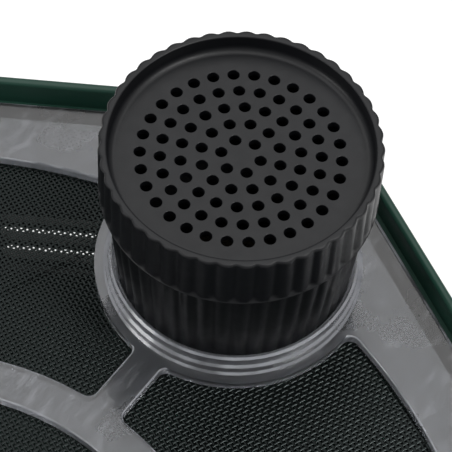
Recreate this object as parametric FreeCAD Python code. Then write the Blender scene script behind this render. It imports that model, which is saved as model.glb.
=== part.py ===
"""Selective wasp trap: a hexagonal tub with a see-through hinged lid over woven mesh,
a bait jar with a perforated screw cap standing in one corner of the lid, entrance cones
with selector discs on three walls, and slotted escape grilles on the other three.

Frame: millimetres, +Z up, origin on the ground under the middle of the hexagon.
The jar's corner is on +X, the lid's hinge on +Y and its clasp on -Y.
"""
import FreeCAD, Part
import math
import os

Vector = FreeCAD.Vector
UP = Vector(0, 0, 1)

# ---------------------------------------------------------------- driving sizes
CORNERS = 6
edge_break = 0.5            # small chamfers and roundings
overshoot = 1.0             # cutters past the faces they cut
fit_gap = 0.15              # pushed-in pieces to their holes
corner_reach = 119.0        # middle of the trap to the centre of each rounded corner
jar_set_back = 2.3          # corner's centre back to the jar's axis, along the diagonal
jar_offset = -3.8           # the jar's axis to the side of that diagonal
tub_depth = 89.8            # underside of the floor to the seat of the lid
foot_height = 3.0
floor_thickness = 2.5
floor_chamfer = 2.5
wall = 2.0                  # tub wall
wall_inset = 5.2            # how far the wall leans in from the seat to the floor
rim_wall = 2.2
rim_rise = 5.0              # rim above the lid's top face
rim_round = 1.0
skirt_drop = 6.8            # rim below the lid's seat, outside the wall
seat_thickness = 2.2
seat_width = 4.3            # how much of the lid's flange rests on the tub

# jar and cap
cap_radius = 30.0           # over the crests of the grip
cap_height = 14.3
cap_bead = 0.6              # smooth bead at the cap's mouth, beyond the grip
cap_bead_height = 1.0
cap_wall = 1.9              # crest of the grip to the recess above the plate
plate_recess = 4.3          # rim of the cap down to the perforated plate
recess_sweep = 1.6          # curve from the plate up to the rim
skirt_step = 0.5            # skirt's wall beyond the rim's
plate_thickness = 1.6
grip_count = 45
grip_depth = 0.65
grip_share = 0.62           # crest's share of each grip's pitch
hole_rings = 5
hole_pitch = 4.25
hole_radius = 1.25
hole_phase = 50.5           # degrees, first hole of every ring
seam_gap = 0.4              # cap's mouth above the jar's shoulder
jar_inset = 1.3             # jar's grip inside the cap's crests, at the seam
jar_lean = 2.3              # how much the jar's grip narrows to its foot
jar_rise = 31.9             # seam above the lid's top face
jar_drop = 36.0             # cup below the lid's seat
cup_inset = 3.6             # foot of the grip to the cup's outside
cup_taper = 1.6
cup_edge = 1.5
jar_wall = 1.8
cap_seal_thickness = 0.8
jar_seal_thickness = 1.2
thread_pitch = 4.0
thread_height = 1.0         # radial
thread_width = 1.5          # axial, at the root
thread_clearance = 0.3
thread_turns = 1.15
thread_start = 2.2          # jar's top face to its thread
sponge_height = 20.0

# lid
lid_thickness = 2.2
plate_edge = 0.8            # rounding of the plate's outline
lid_gap = 1.3               # flange to the rim's inside
flange_step = 0.5           # flange beyond the raised plate
flange_thickness = 1.2
border_width = 15.9         # least width between the windows and the plate's edge
hub_bore_radius = 60.8
hub_ring_width = 9.1
spoke_width = 7.8
window_corner = 2.2
window_bevel = 0.5
collar_clearance = 0.5
collar_height = 5.0
collar_step = 2.2
collar_lip = 1.3
collar_slope = 1.2          # lip's outside to the collar's foot
collar_land = 2.0           # flat ring round the collar's foot
land_margin = 3.4           # plate's corner radius beyond the land's radius
collar_shelf = 1.0          # shelf inside the collar, above the lid's top face
cup_clearance = 0.6
mesh_thickness = 0.8
mesh_margin = 4.8           # plate's edge in to the mesh's edge

# hinge and clasp
hinge_reach = 6.0           # rim's outside to the hinge axis
hinge_spacing = 45.0        # middle of the lid to each hinge
knuckle_radius = 3.5
ear_width = 12.0
lug_width = 5.0
hinge_play = 0.4
pin_radius = 1.5
pin_running_gap = 0.08
pin_fixed_gap = 0.03
pin_head = 1.0
pin_head_rim = 0.9
pin_tail = 0.8
clasp_width = 22.0
clasp_leg = 2.0
clasp_gap = 2.5             # skirt's outside to the leg
clasp_depth = 9.0           # leg below the lid's seat
clasp_bead = 1.2
catch_height = 1.6
catch_bite = 0.3            # bead under the catch
catch_drop = 1.5            # seat down to the catch
catch_play = 0.2
clasp_lip = 3.0
clasp_lip_thickness = 1.8

# hanging eyelets
eyelet_reach = 5.0
eyelet_radius = 7.0
eyelet_bore = 2.5
eyelet_thickness = 3.0
EYELET_CORNERS = (60, 120, 240, 300)

# entrances on three walls, grilles on the others
ENTRANCE_SIDES = (90, 210, 330)
GRILLE_SIDES = (30, 150, 270)
insert_height = 46.0        # ground to the middle of each wall insert
mouth_radius = 11.2
mouth_offset = 21.0         # disc's pivot up to the funnel's axis
funnel_wall = 1.4
funnel_flange = 2.7         # beyond the spigot
funnel_flange_thickness = 1.6
funnel_length = 42.0
throat_radius = 4.6
throat_length = 5.0
nut_height = 5.0
nut_rim = 3.1
nut_notches = 8
nut_notch_radius = 2.0
nut_notch_inset = 1.4
disc_radius = 35.0
disc_thickness = 2.0
disc_standoff = 2.3
disc_rim = 1.6
disc_rim_width = 2.2
disc_grips = 30
disc_grip_radius = 1.6
disc_grip_inset = 0.8
disc_hub = 2.0              # hub beyond the boss under it
bar_gap = 4.2
bar_pitch = 6.6
BARS = (-1, 0, 1)
vent_radius = 1.2
VENT_RINGS = ((0.0, 1), (4.0, 6), (8.0, 12))
disc_boss_radius = 5.0
disc_pin_radius = 2.5
disc_pin_head = 5.0
disc_pin_crown = 2.2
cross_width = 1.0
cross_length = 6.0
disc_boss_depth = 9.0
disc_pin_length = 7.0
disc_pin_play = 0.2
grille_length = 64.0
grille_height = 28.0
grille_flange = 4.0
grille_depth = 4.0
grille_corner = 4.0
slot_width = 5.5
slot_length = 25.0          # along the wall
slot_pitch = 7.9
slot_rows = 3
slot_columns = 2
column_pitch = 29.0
grille_wall = 1.8
grille_plate = 2.8
snap_length = 16.0
snap_height = 1.1
snap_gap = 0.3              # snap behind the wall
snap_bite = 0.7

# feet and floor
foot_radius = 8.0
foot_stem = 2.95
foot_barb = 0.8
foot_inset = 5.0            # corner centre in to the foot
foot_edge = 0.8
foot_barb_height = 2.2
rib_height = 3.0
rib_width = 1.8
rib_ring_radius = 70.0
drain_radius = 1.5
drain_reach = 92.0

# ---------------------------------------------------------------- worked-out sizes
jar_reach = corner_reach - jar_set_back
jar_top_radius = cap_radius - jar_inset
jar_foot_radius = jar_top_radius - jar_lean
cup_radius = jar_foot_radius - cup_inset
collar_bore = jar_foot_radius + collar_clearance
collar_foot = collar_bore + collar_lip + collar_slope
land_radius = collar_foot + collar_land
plate_radius = land_radius + land_margin
flange_radius = plate_radius + flange_step
rim_inner_radius = flange_radius + lid_gap
rim_radius = rim_inner_radius + rim_wall
wall_inner_radius = flange_radius - seat_width
wall_outer_radius = wall_inner_radius + wall
mesh_radius = plate_radius - mesh_margin

seat_z = foot_height + tub_depth
lid_top = seat_z + lid_thickness
rim_top = lid_top + rim_rise
shelf_z = lid_top + collar_shelf
shoulder_z = shelf_z + jar_seal_thickness
seam_z = lid_top + jar_rise
cap_top = seam_z + cap_height
plate_top = cap_top - plate_recess
plate_under = plate_top - plate_thickness
neck_top = plate_under - cap_seal_thickness
jar_body_top = seam_z - seam_gap
cup_bottom = seat_z - jar_drop

cap_bore = cap_radius - cap_wall
skirt_bore = cap_bore - skirt_step
neck_radius = skirt_bore - thread_height - thread_clearance
neck_bore = neck_radius - jar_wall


def apothem(corner_radius):
    """Middle of the trap to the flat side of a rounded hexagon."""
    return corner_reach * math.cos(math.pi / CORNERS) + corner_radius


def polar(radius, degrees, z=0.0):
    """A point at a radius and a direction from the middle of the trap."""
    turn = math.radians(degrees)
    return Vector(radius * math.cos(turn), radius * math.sin(turn), z)


hinge_y = apothem(rim_radius) + hinge_reach
hinge_z = seat_z + knuckle_radius
clasp_y = apothem(rim_radius) + clasp_gap
tab_reach = hinge_y + knuckle_radius
window_radius = apothem(plate_radius) - border_width
hub_radius = hub_bore_radius + hub_ring_width


# ---------------------------------------------------------------- shape helpers
def hexagon(corner_radius, z):
    """Closed wire of a hexagon with rounded corners on one plane."""
    edges = []
    for corner in range(CORNERS):
        direction = corner * 360 / CORNERS
        middle = polar(corner_reach, direction, z)
        start = middle + polar(corner_radius, direction - 30)
        top = middle + polar(corner_radius, direction)
        end = middle + polar(corner_radius, direction + 30)
        edges.append(Part.Arc(start, top, end).toShape())
        after = polar(corner_reach, direction + 60, z) + polar(corner_radius, direction + 30)
        edges.append(Part.LineSegment(end, after).toShape())
    return Part.Wire(edges)


def prism(corner_radius, low, high):
    """Upright block on a rounded hexagon."""
    return Part.Face(hexagon(corner_radius, low)).extrude(UP * (high - low))


def tapered(*sections):
    """Solid through rounded hexagons, each given as (corner radius, height)."""
    return Part.makeLoft([hexagon(radius, z) for radius, z in sections], True, True)


def cylinder(radius, low, high, centre=Vector()):
    """Upright cylinder between two heights."""
    return Part.makeCylinder(radius, high - low, Vector(centre.x, centre.y, low))


def box(low, high):
    """Block between two opposite corners."""
    size = high - low
    return Part.makeBox(size.x, size.y, size.z, low)


def turned(profile):
    """Solid of revolution about Z from (radius, z) points."""
    points = [Vector(radius, 0, z) for radius, z in profile]
    face = Part.Face(Part.makePolygon(points + points[:1]))
    return face.revolve(Vector(), UP, 360)


def rounded_block(length, height, low, high, corner):
    """Block centred on the Z axis with rounded upright edges."""
    block = box(Vector(-length / 2, -height / 2, low), Vector(length / 2, height / 2, high))
    return block.makeFillet(corner, upright_edges(block))


def upright_edges(shape):
    """The straight edges of a shape that run along Z."""
    found = []
    for edge in shape.Edges:
        if isinstance(edge.Curve, Part.Line) and abs(edge.tangentAt(edge.FirstParameter).z) > 0.999:
            found.append(edge)
    return found


def edges_at(shape, z):
    """The edges of a shape that lie on one level."""
    return [e for e in shape.Edges if abs(e.BoundBox.ZMin - z) < 1e-6 and abs(e.BoundBox.ZMax - z) < 1e-6]


def grip_wire(radius, depth, count, z):
    """Closed wavy outline: crests on the radius, valleys a depth inside it."""
    edges = []
    step = 360 / count
    middle = radius - depth / 2
    half = step * grip_share / 2
    for crest in range(count):
        centre = crest * step
        left = polar(middle, centre - half, z)
        right = polar(middle, centre + half, z)
        after = polar(middle, centre + step - half, z)
        edges.append(Part.Arc(left, polar(radius, centre, z), right).toShape())
        valley = polar(radius - depth, centre + step / 2, z)
        edges.append(Part.Arc(right, valley, after).toShape())
    return Part.Wire(edges)


def thread(root, crest, low):
    """Helical ridge between a root radius and a crest radius, right-handed."""
    height = thread_pitch * thread_turns
    helix = Part.Wire(Part.makeHelix(thread_pitch, height, root).Edges)
    buried = math.copysign(thread_clearance, root - crest)
    half_root, half_crest = thread_width / 2, thread_width / 4
    outline = [
        Vector(root + buried, 0, -half_root),
        Vector(crest, 0, -half_crest),
        Vector(crest, 0, half_crest),
        Vector(root + buried, 0, half_root),
    ]
    profile = Part.makePolygon(outline + outline[:1])
    ridge = helix.makePipeShell([profile], True, True)
    ridge.translate(UP * low)
    return ridge


def wall_radius_at(z):
    """Corner radius of the wall's outside at one height."""
    low = foot_height + floor_chamfer
    share = (z - low) / (seat_z - low)
    return wall_outer_radius - wall_inset * (1 - share)


def wall_place(direction):
    """Placement of a wall insert: X along the wall, Y up it, Z out of it."""
    lean = math.atan2(wall_inset, seat_z - foot_height - floor_chamfer)
    origin = polar(apothem(wall_radius_at(insert_height)), direction, insert_height)
    out = polar(math.cos(lean), direction, -math.sin(lean))
    up = polar(math.sin(lean), direction, math.cos(lean))
    turn = FreeCAD.Rotation(up.cross(out), up, out, "ZYX")
    return FreeCAD.Placement(origin, turn)


def placed(shape, placement):
    """A copy of a shape carried to a placement."""
    return shape.transformGeometry(placement.toMatrix())


def at_mouth(shape):
    """Carries a piece made on the Z axis to the funnel's axis in the wall frame."""
    moved = shape.copy()
    moved.translate(Vector(0, mouth_offset, 0))
    return moved


def at_jar(shape):
    """Carries a piece made on the Z axis to the jar's axis."""
    moved = shape.copy()
    moved.translate(Vector(jar_reach, jar_offset, 0))
    return moved


# ---------------------------------------------------------------- tub
def tub_shell():
    """Floor, leaning walls, seat for the lid, and the rim with its skirt."""
    foot_radius_outer = wall_outer_radius - wall_inset
    outer = tapered(
        (foot_radius_outer - floor_chamfer, foot_height),
        (foot_radius_outer, foot_height + floor_chamfer),
        (wall_outer_radius, seat_z),
    )
    floor_top = foot_height + floor_thickness
    inner = tapered(
        (wall_radius_at(floor_top) - wall, floor_top),
        (wall_inner_radius, seat_z),
    )
    seat = prism(rim_radius - rim_wall / 2, seat_z - seat_thickness, seat_z)
    rim = prism(rim_radius, seat_z - skirt_drop, rim_top)
    rim = rim.cut(prism(rim_inner_radius, seat_z - skirt_drop, rim_top))
    rim = rim.makeFillet(rim_round, edges_at(rim, rim_top))
    return outer.fuse([seat, rim]).cut(inner).removeSplitter()


def floor_ribs():
    """One ring and six spokes standing on the floor."""
    low = foot_height + floor_thickness / 2
    high = foot_height + floor_thickness + rib_height
    ring = cylinder(rib_ring_radius + rib_width / 2, low, high)
    ring = ring.cut(cylinder(rib_ring_radius - rib_width / 2, low, high))
    spoke = box(
        Vector(rib_ring_radius, -rib_width / 2, low),
        Vector(corner_reach - foot_inset - foot_radius, rib_width / 2, high),
    )
    spokes = []
    for corner in range(CORNERS):
        turned_spoke = spoke.copy()
        turned_spoke.rotate(Vector(), UP, corner * 60)
        spokes.append(turned_spoke)
    return ring.fuse(spokes)


def hinge_lugs():
    """Two pairs of hinge lugs on the rim's outside."""
    inside = apothem(rim_radius) - rim_wall / 2
    low = seat_z - skirt_drop
    outline = [
        Vector(0, inside, low),
        Vector(0, apothem(rim_radius), low),
        Vector(0, hinge_y + knuckle_radius * 4 / 5, hinge_z - knuckle_radius * 3 / 5),
        Vector(0, hinge_y, hinge_z + knuckle_radius),
        Vector(0, inside, hinge_z + knuckle_radius),
    ]
    face = Part.Face(Part.makePolygon(outline + outline[:1]))
    lugs = []
    for side in (-1, 1):
        for edge in (-1, 1):
            offset = edge * (ear_width / 2 + hinge_play + lug_width / 2)
            start = side * hinge_spacing + offset - lug_width / 2
            web = face.extrude(Vector(lug_width, 0, 0))
            web.translate(Vector(start, 0, 0))
            barrel = Part.makeCylinder(
                knuckle_radius, lug_width, Vector(start, hinge_y, hinge_z), Vector(1, 0, 0)
            )
            lugs.append(web.fuse(barrel))
    return lugs


def hinge_bores(radius):
    """Cylinders along both hinge axes, longer than the hinges."""
    half = ear_width / 2 + hinge_play + lug_width + overshoot
    bores = []
    for side in (-1, 1):
        start = Vector(side * hinge_spacing - half, hinge_y, hinge_z)
        bores.append(Part.makeCylinder(radius, 2 * half, start, Vector(1, 0, 0)))
    return bores


def eyelets():
    """Flat tabs with a hole at four corners, for hanging the trap."""
    low = seat_z - eyelet_thickness
    tabs = []
    for corner in EYELET_CORNERS:
        centre = polar(corner_reach + rim_radius + eyelet_reach, corner)
        inner = polar(corner_reach + rim_radius - rim_wall / 2, corner)
        tab = cylinder(eyelet_radius, low, seat_z, centre)
        neck = box(
            Vector(inner.Length, -eyelet_radius, low),
            Vector(centre.Length, eyelet_radius, seat_z),
        )
        neck.rotate(Vector(), UP, corner)
        tab = tab.fuse(neck).cut(prism(rim_radius - rim_wall / 2, low, seat_z))
        tabs.append(tab.cut(cylinder(eyelet_bore, low - overshoot, seat_z + overshoot, centre)))
    return tabs


def catch_rib():
    """Rib on the skirt that the lid's clasp snaps under."""
    bite = clasp_gap - clasp_bead + catch_bite
    high = seat_z - catch_drop
    face = -apothem(rim_radius)
    return box(
        Vector(-clasp_width / 2, face - bite, high - catch_height),
        Vector(clasp_width / 2, face + rim_wall / 2, high),
    )


def rim_notches():
    """Gaps in the rim for the two hinge ears and the clasp."""
    inside = apothem(rim_inner_radius) - overshoot
    outside = apothem(rim_radius) + edge_break
    top = rim_top + overshoot
    cuts = []
    for side in (-1, 1):
        half = ear_width / 2 + hinge_play
        middle = side * hinge_spacing
        cuts.append(box(Vector(middle - half, inside, seat_z), Vector(middle + half, outside, top)))
    half = clasp_width / 2 + hinge_play
    cuts.append(box(Vector(-half, -outside, seat_z), Vector(half, -inside, top)))
    return cuts


def wall_bosses():
    """Inside and outside bosses for the discs' pivots, in the wall frame."""
    outer = cylinder(disc_boss_radius, -wall / 2, disc_standoff - snap_gap)
    inner = cylinder(disc_boss_radius - edge_break, -disc_boss_depth, -wall / 2)
    return outer.fuse(inner)


def make_tub():
    """The green tub in one piece."""
    tub = tub_shell().fuse(hinge_lugs() + eyelets() + [catch_rib(), floor_ribs()])
    bosses = [placed(wall_bosses(), wall_place(side)) for side in ENTRANCE_SIDES]
    tub = tub.fuse(bosses)
    cuts = rim_notches() + hinge_bores(pin_radius + pin_fixed_gap)
    for side in ENTRANCE_SIDES:
        spigot_hole = at_mouth(cylinder(spigot_radius() + fit_gap, -2 * wall, wall))
        pivot_hole = cylinder(disc_pin_radius + pin_fixed_gap, -disc_pin_length - edge_break, disc_standoff)
        cuts.append(placed(spigot_hole.fuse(pivot_hole), wall_place(side)))
    for side in GRILLE_SIDES:
        window = rounded_block(grille_length, grille_height, -2 * wall, wall, grille_corner)
        cuts.append(placed(window, wall_place(side)))
    for corner in range(CORNERS):
        direction = corner * 60
        foot_hole = polar(corner_reach - foot_inset, direction)
        cuts.append(cylinder(foot_stem + 0.05, 0, foot_height + 2 * floor_thickness, foot_hole))
        drain = polar(drain_reach, direction + 30)
        cuts.append(cylinder(drain_radius, 0, foot_height + 2 * floor_thickness, drain))
    return tub.cut(cuts).removeSplitter()


def make_feet():
    """Six rubber feet pushed through the floor, as separate solids."""
    floor_top = foot_height + floor_thickness
    barb_top = floor_top + foot_barb_height
    foot = turned(
        [
            (0, 0),
            (foot_radius - foot_edge, 0),
            (foot_radius, foot_edge),
            (foot_radius - edge_break, foot_height),
            (foot_stem, foot_height),
            (foot_stem, floor_top),
            (foot_stem + foot_barb, floor_top + fit_gap),
            (foot_stem - foot_barb, barb_top),
            (0, barb_top),
        ]
    )
    feet = []
    for corner in range(CORNERS):
        copy = foot.copy()
        copy.translate(polar(corner_reach - foot_inset, corner * 60))
        feet.append(copy)
    return Part.makeCompound(feet)


def make_hinge_pin(side):
    """Steel pin with a flat head, fixed in the tub's lugs."""
    half = ear_width / 2 + hinge_play + lug_width
    start = Vector(side * hinge_spacing - half - pin_head, hinge_y, hinge_z)
    length = 2 * half + pin_head + pin_tail
    shank = Part.makeCylinder(pin_radius, length, start, Vector(1, 0, 0))
    head = Part.makeCylinder(pin_radius + pin_head_rim, pin_head, start, Vector(1, 0, 0))
    return shank.fuse(head).removeSplitter()


# ---------------------------------------------------------------- wall inserts
def spigot_radius():
    """Outside of the funnel where it passes through the wall."""
    return mouth_radius + funnel_wall


def make_funnel(direction):
    """Entrance cone, pushed through the wall from outside."""
    spigot = spigot_radius()
    flange = spigot + funnel_flange
    cone_start = -wall - nut_height - overshoot
    cone_end = -funnel_length
    outline = [
        (mouth_radius, edge_break),
        (mouth_radius + funnel_flange_thickness - edge_break, funnel_flange_thickness),
        (flange - edge_break, funnel_flange_thickness),
        (flange, funnel_flange_thickness - edge_break),
        (flange, 0),
        (spigot, 0),
        (spigot, cone_start),
        (throat_radius + funnel_wall, cone_end),
        (throat_radius + funnel_wall, cone_end - throat_length),
        (throat_radius, cone_end - throat_length),
        (throat_radius, cone_end),
        (mouth_radius, cone_start),
    ]
    return placed(at_mouth(turned(outline)), wall_place(direction))


def make_funnel_nut(direction):
    """Notched ring that clamps the funnel from inside the tub."""
    bore = spigot_radius() + fit_gap
    outer = spigot_radius() + nut_rim
    low, high = -wall - nut_height, -wall
    ring = cylinder(outer, low, high).cut(cylinder(bore, low, high))
    notches = []
    for notch in range(nut_notches):
        centre = polar(outer + nut_notch_radius - nut_notch_inset, (notch + 0.5) * 360 / nut_notches)
        notches.append(cylinder(nut_notch_radius, low, high, centre))
    return placed(at_mouth(ring.cut(notches)), wall_place(direction))


def disc_blank():
    """Selector disc without its openings: raised rim with finger grips."""
    low, high = disc_standoff, disc_standoff + disc_thickness
    blank = cylinder(disc_radius, low, high + disc_rim)
    blank = blank.cut(cylinder(disc_radius - disc_rim_width, high, high + disc_rim))
    hub = cylinder(disc_boss_radius + disc_hub, low, high + disc_rim / 2)
    grips = []
    for grip in range(disc_grips):
        centre = polar(disc_radius + disc_grip_radius - disc_grip_inset, (grip + 0.5) * 360 / disc_grips)
        grips.append(cylinder(disc_grip_radius, low, high + disc_rim, centre))
    return blank.fuse(hub).cut(grips)


def make_selector_disc(direction):
    """Disc that turns to offer an open hole, bars, vent holes or a blank."""
    low = disc_standoff - overshoot
    high = disc_standoff + disc_thickness + disc_rim + overshoot
    hole = mouth_radius - edge_break
    cuts = [cylinder(disc_pin_radius + pin_running_gap, low, high)]
    cuts.append(cylinder(hole, low, high, Vector(0, mouth_offset, 0)))
    for bar in BARS:
        middle = bar * bar_pitch - mouth_offset
        half = math.sqrt(hole**2 - (bar * bar_pitch) ** 2) - bar_gap / 3
        slot = box(Vector(middle - bar_gap / 2, -half, low), Vector(middle + bar_gap / 2, half, high))
        cuts.append(slot)
    vent = Vector(0, -mouth_offset, 0)
    for ring, count in VENT_RINGS:
        for number in range(count):
            centre = vent + polar(ring, number * 360 / count)
            cuts.append(cylinder(vent_radius, low, high, centre))
    return placed(disc_blank().cut(cuts), wall_place(direction))


def make_disc_pin(direction):
    """Shouldered pivot of a selector disc, with a cross slot in its head."""
    head_low = disc_standoff + disc_thickness + disc_rim / 2 + disc_pin_play
    crown = head_low + disc_pin_crown
    outline = [
        (0, -disc_pin_length),
        (disc_pin_radius - edge_break, -disc_pin_length),
        (disc_pin_radius, -disc_pin_length + edge_break),
        (disc_pin_radius, head_low),
        (disc_pin_head, head_low),
        (disc_pin_head, head_low + disc_pin_crown / 2),
        (disc_pin_head - 2 * edge_break, crown - fit_gap),
        (0, crown),
    ]
    long, wide = cross_length / 2, cross_width / 2
    slot_low = head_low + disc_pin_crown / 2
    slots = [
        box(Vector(-long, -wide, slot_low), Vector(long, wide, crown)),
        box(Vector(-wide, -long, slot_low), Vector(wide, long, crown)),
    ]
    return placed(turned(outline).cut(slots), wall_place(direction))


def make_grille(direction):
    """Slotted escape grille that snaps into the wall from outside."""
    length, height = grille_length - 2 * fit_gap, grille_height - 2 * fit_gap
    top = funnel_flange_thickness
    back = top - grille_plate
    plug = rounded_block(length, height, -grille_depth, top / 2, grille_corner)
    long_flange, high_flange = grille_length + 2 * grille_flange, grille_height + 2 * grille_flange
    flange = rounded_block(long_flange, high_flange, 0, top, grille_corner + grille_flange)
    grille = plug.fuse(flange.makeFillet(edge_break, edges_at(flange, top)))
    snap_top = -wall - snap_gap
    for side in (-1, 1):
        reach = side * (height / 2 + snap_bite)
        root = side * (height / 2 - overshoot)
        snap_low = Vector(-snap_length / 2, min(root, reach), snap_top - snap_height)
        snap_high = Vector(snap_length / 2, max(root, reach), snap_top)
        grille = grille.fuse(box(snap_low, snap_high))
    cuts = []
    low, high = -grille_depth - overshoot, top + overshoot
    for row in range(slot_rows):
        up = (row - (slot_rows - 1) / 2) * slot_pitch
        for column in range(slot_columns):
            slot = rounded_block(slot_length, slot_width, low, high, slot_width / 2 - edge_break)
            slot.translate(Vector((column - (slot_columns - 1) / 2) * column_pitch, up, 0))
            cuts.append(slot)
    pocket_length, pocket_height = length - 2 * grille_wall, height - 2 * grille_wall
    cuts.append(rounded_block(pocket_length, pocket_height, low, back, grille_corner - grille_wall))
    return placed(grille.cut(cuts).removeSplitter(), wall_place(direction))


# ---------------------------------------------------------------- lid
def lid_windows():
    """The window openings as upright solids with rounded corners."""
    low, high = seat_z - overshoot, lid_top + overshoot
    ring = cylinder(window_radius, low, high).cut(cylinder(hub_radius, low, high))
    cuts = [at_jar(cylinder(land_radius, low, high))]
    reach = window_radius + overshoot
    spoke = box(Vector(0, -spoke_width / 2, low), Vector(reach, spoke_width / 2, high))
    for corner in range(CORNERS):
        copy = spoke.copy()
        direction = corner * 360 / CORNERS if corner else math.degrees(math.atan2(jar_offset, jar_reach))
        copy.rotate(Vector(), UP, direction)
        cuts.append(copy)
    windows = []
    for window in ring.cut(cuts).Solids:
        windows.append(window.makeFillet(window_corner, upright_edges(window)))
    windows.append(cylinder(hub_bore_radius, low, high))
    return windows


def collar():
    """Raised collar round the jar, with a shelf for its seal."""
    hole = cup_radius + cup_clearance
    lip = collar_bore + collar_lip
    shoulder = collar_foot - edge_break
    step_z = lid_top + collar_step
    top = lid_top + collar_height
    profile = [
        (hole, seat_z),
        (land_radius, seat_z),
        (land_radius, lid_top),
        (collar_foot, lid_top),
        (shoulder, lid_top + edge_break),
        (shoulder, step_z),
        (lip + fit_gap, step_z + edge_break),
        (lip, top - edge_break),
        (lip - edge_break, top),
        (collar_bore + edge_break, top),
        (collar_bore, top - edge_break),
        (collar_bore, shelf_z),
        (hole, shelf_z),
    ]
    return at_jar(turned(profile))


def hinge_ears():
    """The lid's two hinge ears, each with its knuckle."""
    ears = []
    for side in (-1, 1):
        start = side * hinge_spacing - ear_width / 2
        inside = apothem(plate_radius) - lid_thickness
        strap = box(Vector(start, inside, seat_z), Vector(start + ear_width, hinge_y, lid_top))
        barrel = Part.makeCylinder(
            knuckle_radius, ear_width, Vector(start, hinge_y, hinge_z), Vector(1, 0, 0)
        )
        ears += [strap, barrel]
    return ears


def clasp():
    """Springy leg of the lid that snaps under the rib on the skirt."""
    half = clasp_width / 2
    root = -apothem(plate_radius) + lid_thickness
    inner, outer = -clasp_y, -clasp_y - clasp_leg
    low = seat_z - clasp_depth
    bead_high = seat_z - catch_drop - catch_height - catch_play
    outline = [
        Vector(-half, root, seat_z),
        Vector(-half, inner, seat_z),
        Vector(-half, inner, bead_high),
        Vector(-half, inner + clasp_bead, bead_high),
        Vector(-half, inner, bead_high - 2 * clasp_bead),
        Vector(-half, inner, low),
        Vector(-half, -tab_reach, low - clasp_lip),
        Vector(-half, -tab_reach, low - clasp_lip + clasp_lip_thickness),
        Vector(-half, outer, low + clasp_leg),
        Vector(-half, outer, lid_top - edge_break),
        Vector(-half, outer + edge_break, lid_top),
        Vector(-half, root, lid_top),
    ]
    face = Part.Face(Part.makePolygon(outline + outline[:1]))
    return face.extrude(Vector(clasp_width, 0, 0))


def make_lid_frame():
    """See-through lid: border, hub ring, spokes, collar, hinge ears and clasp."""
    plate = prism(plate_radius, seat_z, lid_top)
    plate = plate.makeFillet(plate_edge, edges_at(plate, lid_top))
    flange_top = seat_z + flange_thickness
    flange = prism(flange_radius, seat_z, flange_top)
    flange = flange.makeFillet(edge_break, edges_at(flange, flange_top))
    frame = plate.fuse(flange).cut(lid_windows())
    rims = [edge for edge in edges_at(frame, lid_top) if is_window_edge(edge)]
    frame = frame.makeFillet(window_bevel, rims)
    cup_hole = at_jar(cylinder(collar_bore, seat_z - overshoot, lid_top + overshoot))
    frame = frame.cut(cup_hole).fuse([collar(), clasp()] + hinge_ears())
    frame = frame.cut(hinge_bores(pin_radius + pin_running_gap))
    return frame.removeSplitter()


def is_window_edge(edge):
    """True for an edge of a window, which is clear of the plate's own outline."""
    middle = edge.valueAt((edge.FirstParameter + edge.LastParameter) / 2)
    return math.hypot(middle.x, middle.y) < window_radius + edge_break


def make_mesh_screen():
    """The screen as one plain sheet welded under the lid."""
    sheet = prism(mesh_radius, seat_z - mesh_thickness, seat_z)
    return sheet.cut(at_jar(cylinder(collar_bore, seat_z - overshoot, seat_z + overshoot)))


# ---------------------------------------------------------------- jar and cap
def make_jar():
    """Bait jar: gripped body above the collar and a plain cup below it."""
    low_wire = grip_wire(jar_foot_radius, grip_depth, grip_count, shoulder_z)
    high_wire = grip_wire(jar_top_radius, grip_depth, grip_count, jar_body_top)
    body = Part.makeLoft([low_wire, high_wire], True, True)
    foot = cup_radius - cup_taper
    cup = turned(
        [
            (0, cup_bottom),
            (foot - cup_edge, cup_bottom),
            (foot, cup_bottom + cup_edge),
            (cup_radius, shoulder_z),
            (cup_radius, shoulder_z + overshoot),
            (0, shoulder_z + overshoot),
        ]
    )
    neck = turned(
        [
            (0, jar_body_top - overshoot),
            (neck_radius, jar_body_top - overshoot),
            (neck_radius, neck_top - edge_break),
            (neck_radius - edge_break, neck_top),
            (0, neck_top),
        ]
    )
    bottom = cup_bottom + jar_wall
    flare = neck_bore - cup_radius + jar_wall
    hollow = turned(
        [
            (0, bottom),
            (foot - jar_wall - edge_break, bottom),
            (foot - jar_wall, bottom + edge_break),
            (cup_radius - jar_wall, shoulder_z),
            (neck_bore, shoulder_z + flare),
            (neck_bore, neck_top + overshoot),
            (0, neck_top + overshoot),
        ]
    )
    ridge = thread(neck_radius, neck_radius + thread_height, jar_body_top + thread_start)
    jar = body.fuse([cup, neck, ridge]).cut(hollow)
    return at_jar(jar.removeSplitter())


def make_jar_seal():
    """Rubber ring between the jar's shoulder and the collar's shelf."""
    inner, outer = cup_radius + fit_gap, jar_foot_radius - grip_depth
    ring = cylinder(outer, shelf_z, shoulder_z).cut(cylinder(inner, shelf_z, shoulder_z))
    return at_jar(ring)


def make_sponge():
    """Foam plug in the cup that soaks up the bait."""
    low = cup_bottom + jar_wall
    radius = cup_radius - cup_taper - jar_wall - edge_break
    plug = cylinder(radius, low, low + sponge_height)
    return at_jar(plug.makeFillet(2 * edge_break, edges_at(plug, low + sponge_height)))


def make_cap_seal():
    """Flat rubber ring under the cap's plate."""
    low, high = neck_top, plate_under
    ring = cylinder(neck_radius, low, high).cut(cylinder(neck_bore, low, high))
    return at_jar(ring)


def cap_holes():
    """Rings of holes: six in the first, six more in each ring outside it."""
    holes = []
    for ring in range(1, hole_rings + 1):
        count = CORNERS * ring
        for hole in range(count):
            centre = polar(ring * hole_pitch, hole_phase + hole * 360 / count)
            holes.append(cylinder(hole_radius, plate_under - overshoot, plate_top + overshoot, centre))
    return holes


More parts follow.
